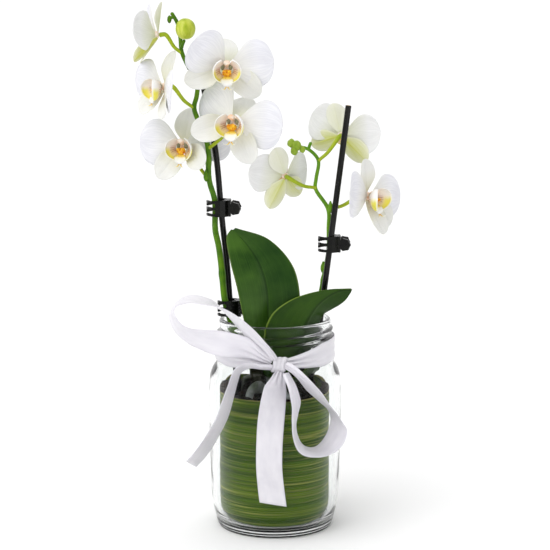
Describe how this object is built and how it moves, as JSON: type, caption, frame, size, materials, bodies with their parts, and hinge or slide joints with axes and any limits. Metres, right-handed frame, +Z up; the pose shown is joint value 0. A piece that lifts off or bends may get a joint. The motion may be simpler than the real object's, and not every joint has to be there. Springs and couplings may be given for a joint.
{
  "type": "potted moth orchid",
  "caption": "Miniature moth orchid with two arching flower spikes on clipped stakes, planted in bark inside a leaf-lined clear mason jar with a ribbon bow.",
  "frame": {"origin": "middle of the jar's flat bottom, on the surface that it stands on", "axes": "+Z up along the jar's axis, -Y towards the front with the ribbon's bow, +X to the right seen from the front"},
  "size_m": [0.1626, 0.1, 0.324],
  "materials": {
    "jar_glass": "clear smooth glass",
    "lining_leaf": "waxy green leaf with parallel veins",
    "bark": "rough dark bark chips",
    "roots": "grey green velvet skin",
    "leaf": "glossy dark green leaf",
    "spike": "smooth green stem",
    "stake": "gloss black coating",
    "bud": "smooth yellow green",
    "petal": "matt white petal with a cool sheen",
    "lip": "yellow and white with red brown stripes",
    "clip": "gloss black",
    "spring": "bare spring wire",
    "ribbon": "white satin"
  },
  "bodies": {
    "plant_in_jar": {"jar": "jar_glass", "lining_leaf": "lining_leaf", "bark": "bark", "crown_roots": "roots", "leaf_upright": "leaf", "leaf_right": "leaf", "leaf_inner": "leaf", "spike_left": "spike", "stake_left": "stake", "spike_right": "spike", "stake_right": "stake", "bud_left": "bud", "bloom_1": "petal", "lip_1": "lip", "bloom_2": "petal", "lip_2": "lip", "bloom_3": "petal", "lip_3": "lip", "bloom_4": "petal", "lip_4": "lip", "bloom_5": "petal", "lip_5": "lip", "bloom_6": "petal", "lip_6": "lip", "bloom_7": "petal", "lip_7": "lip", "bloom_8": "petal", "lip_8": "lip", "clip_upper_left_back": "clip", "clip_upper_left_spring": "spring", "clip_lower_left_back": "clip", "clip_lower_left_spring": "spring", "clip_right_back": "clip", "clip_right_spring": "spring", "ribbon_loop_left": "ribbon", "ribbon_loop_right": "ribbon", "ribbon_tail_left": "ribbon", "ribbon_tail_center": "ribbon", "ribbon_neck_band": "ribbon", "ribbon_knot": "ribbon"},
    "upper_left_jaw": {"clip_upper_left_front": "clip"},
    "lower_left_jaw": {"clip_lower_left_front": "clip"},
    "right_jaw": {"clip_right_front": "clip"}
  },
  "joints": [
    {"name": "upper_left_clip_hinge", "type": "hinge", "parent": "plant_in_jar", "child": "upper_left_jaw", "pos_m": [-0.0288, -0.0015, 0.1995], "axis": [0, 0, 1], "range_deg": [0, 22], "stiffness_Nm_per_rad": 0.002, "springref_deg": -17.19},
    {"name": "lower_left_clip_hinge", "type": "hinge", "parent": "plant_in_jar", "child": "lower_left_jaw", "pos_m": [-0.0228, -0.0004, 0.1372], "axis": [0, 0, 1], "range_deg": [0, 22], "stiffness_Nm_per_rad": 0.002, "springref_deg": -17.19},
    {"name": "right_clip_hinge", "type": "hinge", "parent": "plant_in_jar", "child": "right_jaw", "pos_m": [0.0383, 0.0066, 0.176], "axis": [0, 0, 1], "range_deg": [0, 22], "stiffness_Nm_per_rad": 0.002, "springref_deg": -17.19}
  ]
}
